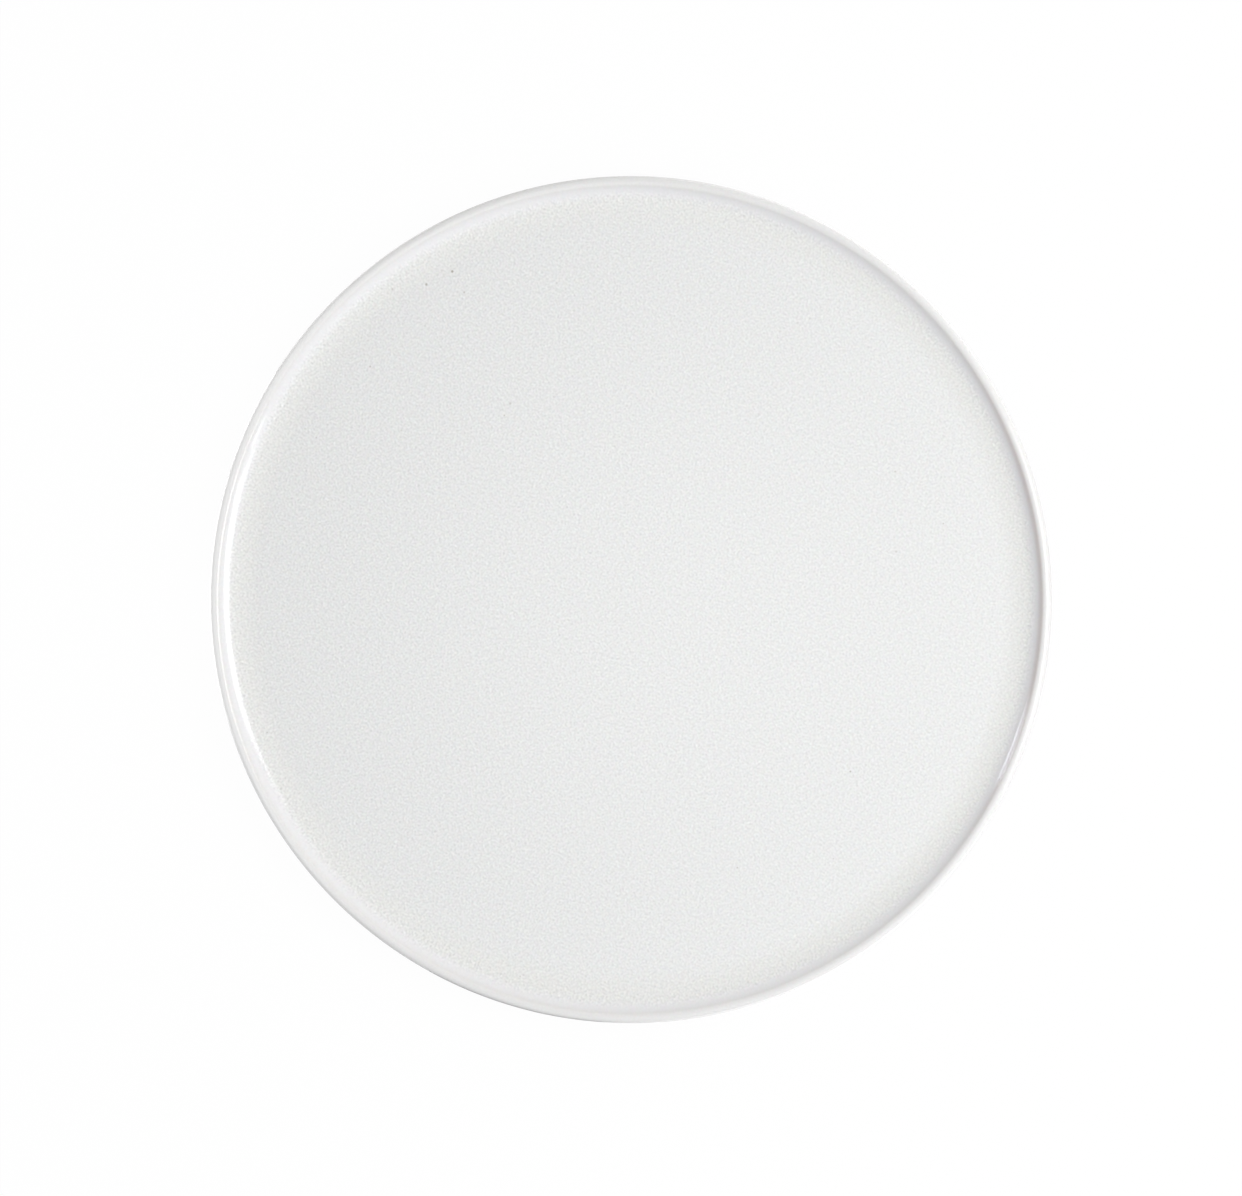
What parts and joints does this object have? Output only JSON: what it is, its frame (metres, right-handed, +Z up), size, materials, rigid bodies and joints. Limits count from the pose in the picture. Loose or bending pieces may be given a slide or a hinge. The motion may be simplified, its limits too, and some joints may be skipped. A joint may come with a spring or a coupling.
{
  "type": "charger plate",
  "caption": "Wide, nearly flat round plate with a low upturned rim, a rounded lip and a bare foot ring; it lies under a dinner plate on a laid table.",
  "frame": {"origin": "centre of the plate on the table, under the middle of the foot ring", "axes": "+Z up along the plate's axis; X and Y lie on the table and are alike, because the plate is round"},
  "size_m": [0.32, 0.32, 0.0146],
  "materials": {
    "bare_clay": "matte",
    "face_glaze": "gloss",
    "back_glaze": "gloss"
  },
  "bodies": {
    "root": {"clay_body": "bare_clay", "face_glaze": "face_glaze", "underside_glaze": "back_glaze", "foot_well_glaze": "back_glaze"}
  },
  "joints": []
}
